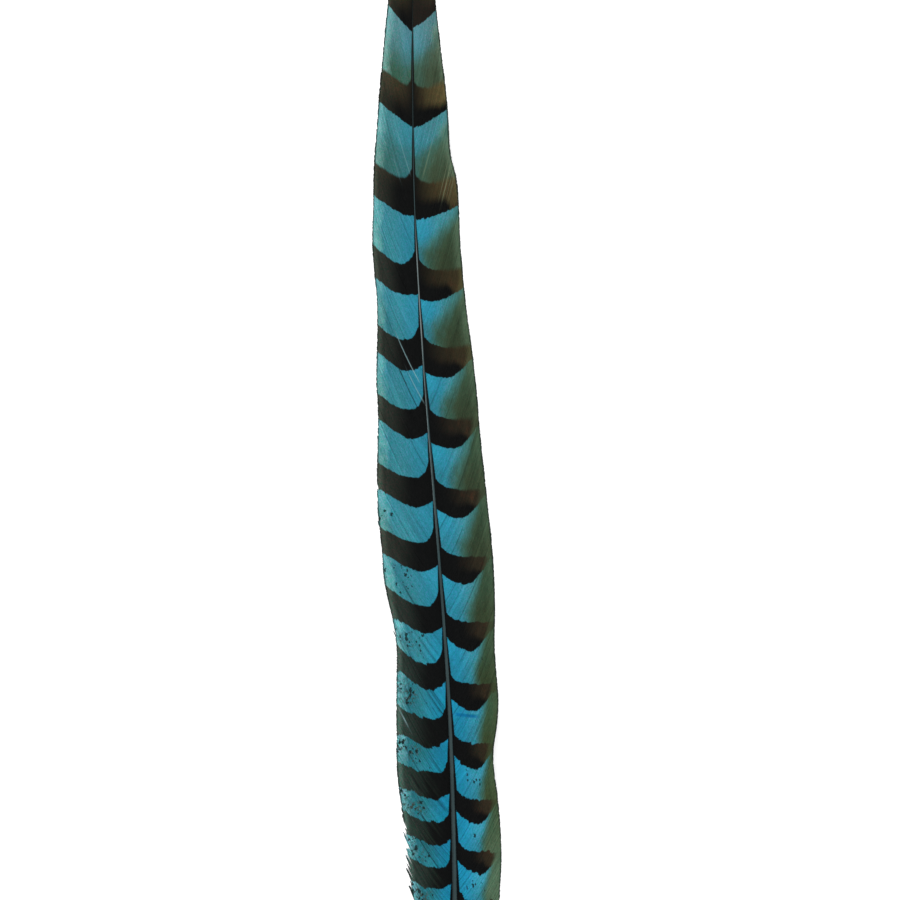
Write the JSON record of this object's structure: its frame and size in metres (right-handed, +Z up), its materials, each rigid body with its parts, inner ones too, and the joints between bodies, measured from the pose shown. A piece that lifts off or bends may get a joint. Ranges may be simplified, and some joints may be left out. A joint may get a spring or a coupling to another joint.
{
  "type": "pheasant tail feather",
  "caption": "Long narrow barred tail feather with a bare quill, a slim arched shaft and a slanting vane on each side, lying flat, glossy side up.",
  "frame": {"origin": "under the middle of the feather's box, on the surface that it lies on", "axes": "+Y from the quill to the tip, +Z up through the glossy upper side, +X towards the olive-margined outer vane"},
  "size_m": [0.0462, 0.55, 0.0065],
  "materials": {
    "horn_shaft": "satin grey horn",
    "inner_barbs": "silky turquoise barbs with near-black bars",
    "outer_barbs": "silky turquoise barbs with near-black bars and an olive margin"
  },
  "bodies": {
    "root": {"shaft": "horn_shaft", "left_vane": "inner_barbs", "right_vane": "outer_barbs"}
  },
  "joints": []
}
